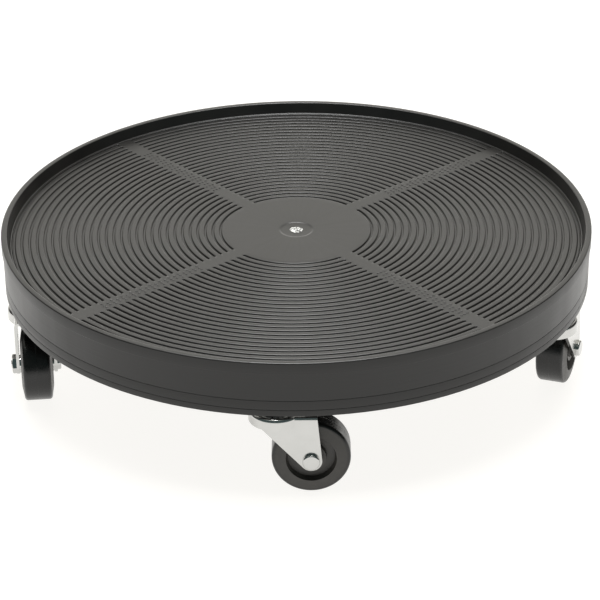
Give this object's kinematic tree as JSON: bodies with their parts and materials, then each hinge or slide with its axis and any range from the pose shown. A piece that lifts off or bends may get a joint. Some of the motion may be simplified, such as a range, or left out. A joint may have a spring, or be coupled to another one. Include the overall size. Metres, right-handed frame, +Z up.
{
  "type": "plant pot caddy",
  "caption": "Round moulded tray with a raised lip, ring-grooved floor and deep skirt, on swivel casters with pressed forks and solid wheels, for moving a heavy plant pot.",
  "frame": {"origin": "on the ground under the middle of the tray", "axes": "+Z up along the tray's axis; -Y towards the front caster; +X to the right of it"},
  "size_m": [0.6096, 0.6097, 0.1493],
  "materials": {
    "tray_plastic": "moulded, satin, fine texture",
    "zinc_steel": "bright zinc plated",
    "bearing_steel": "ground and oiled",
    "wheel_rubber": "moulded hard rubber, soft gloss"
  },
  "bodies": {
    "caddy": {"tray": "tray_plastic", "caster_screws": "zinc_steel", "plate_front": "zinc_steel", "kingpin_front": "zinc_steel", "upper_balls_front": "bearing_steel", "lower_balls_front": "bearing_steel", "lower_race_front": "zinc_steel", "plate_right": "zinc_steel", "kingpin_right": "zinc_steel", "upper_balls_right": "bearing_steel", "lower_balls_right": "bearing_steel", "lower_race_right": "zinc_steel", "plate_back_right": "zinc_steel", "kingpin_back_right": "zinc_steel", "upper_balls_back_right": "bearing_steel", "lower_balls_back_right": "bearing_steel", "lower_race_back_right": "zinc_steel", "plate_back_left": "zinc_steel", "kingpin_back_left": "zinc_steel", "upper_balls_back_left": "bearing_steel", "lower_balls_back_left": "bearing_steel", "lower_race_back_left": "zinc_steel", "plate_left": "zinc_steel", "kingpin_left": "zinc_steel", "upper_balls_left": "bearing_steel", "lower_balls_left": "bearing_steel", "lower_race_left": "zinc_steel"},
    "swivel_front": {"fork_front": "zinc_steel", "axle_bolt_front": "zinc_steel", "axle_nut_front": "zinc_steel", "bush_front": "bearing_steel", "spacers_front": "zinc_steel"},
    "wheel_front": {"wheel_front": "wheel_rubber"},
    "swivel_right": {"fork_right": "zinc_steel", "axle_bolt_right": "zinc_steel", "axle_nut_right": "zinc_steel", "bush_right": "bearing_steel", "spacers_right": "zinc_steel"},
    "wheel_right": {"wheel_right": "wheel_rubber"},
    "swivel_back_right": {"fork_back_right": "zinc_steel", "axle_bolt_back_right": "zinc_steel", "axle_nut_back_right": "zinc_steel", "bush_back_right": "bearing_steel", "spacers_back_right": "zinc_steel"},
    "wheel_back_right": {"wheel_back_right": "wheel_rubber"},
    "swivel_back_left": {"fork_back_left": "zinc_steel", "axle_bolt_back_left": "zinc_steel", "axle_nut_back_left": "zinc_steel", "bush_back_left": "bearing_steel", "spacers_back_left": "zinc_steel"},
    "wheel_back_left": {"wheel_back_left": "wheel_rubber"},
    "swivel_left": {"fork_left": "zinc_steel", "axle_bolt_left": "zinc_steel", "axle_nut_left": "zinc_steel", "bush_left": "bearing_steel", "spacers_left": "zinc_steel"},
    "wheel_left": {"wheel_left": "wheel_rubber"}
  },
  "joints": [
    {"name": "front_swivel", "type": "hinge", "parent": "caddy", "child": "swivel_front", "pos_m": [0, -0.27789, 0], "axis": [0, 0, 1], "continuous": true},
    {"name": "front_roll", "type": "hinge", "parent": "swivel_front", "child": "wheel_front", "pos_m": [0.03292, -0.27558, 0.0381], "axis": [-0.0698, 0.9976, 0], "continuous": true},
    {"name": "right_swivel", "type": "hinge", "parent": "caddy", "child": "swivel_right", "pos_m": [0.26429, -0.08587, 0], "axis": [0, 0, 1], "continuous": true},
    {"name": "right_roll", "type": "hinge", "parent": "swivel_right", "child": "wheel_right", "pos_m": [0.27283, -0.054, 0.0381], "axis": [-0.9659, 0.2588, 0], "continuous": true},
    {"name": "back_right_swivel", "type": "hinge", "parent": "caddy", "child": "swivel_back_right", "pos_m": [0.16334, 0.22481, 0], "axis": [0, 0, 1], "continuous": true},
    {"name": "back_right_roll", "type": "hinge", "parent": "swivel_back_right", "child": "wheel_back_right", "pos_m": [0.13664, 0.24421, 0.0381], "axis": [-0.5878, -0.809, 0], "continuous": true},
    {"name": "back_left_swivel", "type": "hinge", "parent": "caddy", "child": "swivel_back_left", "pos_m": [-0.16334, 0.22481, 0], "axis": [0, 0, 1], "continuous": true},
    {"name": "back_left_roll", "type": "hinge", "parent": "swivel_back_left", "child": "wheel_back_left", "pos_m": [-0.18898, 0.20405, 0.0381], "axis": [0.6293, -0.7771, 0], "continuous": true},
    {"name": "left_swivel", "type": "hinge", "parent": "caddy", "child": "swivel_left", "pos_m": [-0.26429, -0.08587, 0], "axis": [0, 0, 1], "continuous": true},
    {"name": "left_roll", "type": "hinge", "parent": "swivel_left", "child": "wheel_left", "pos_m": [-0.25855, -0.11837, 0.0381], "axis": [0.9848, 0.1736, 0], "continuous": true}
  ]
}
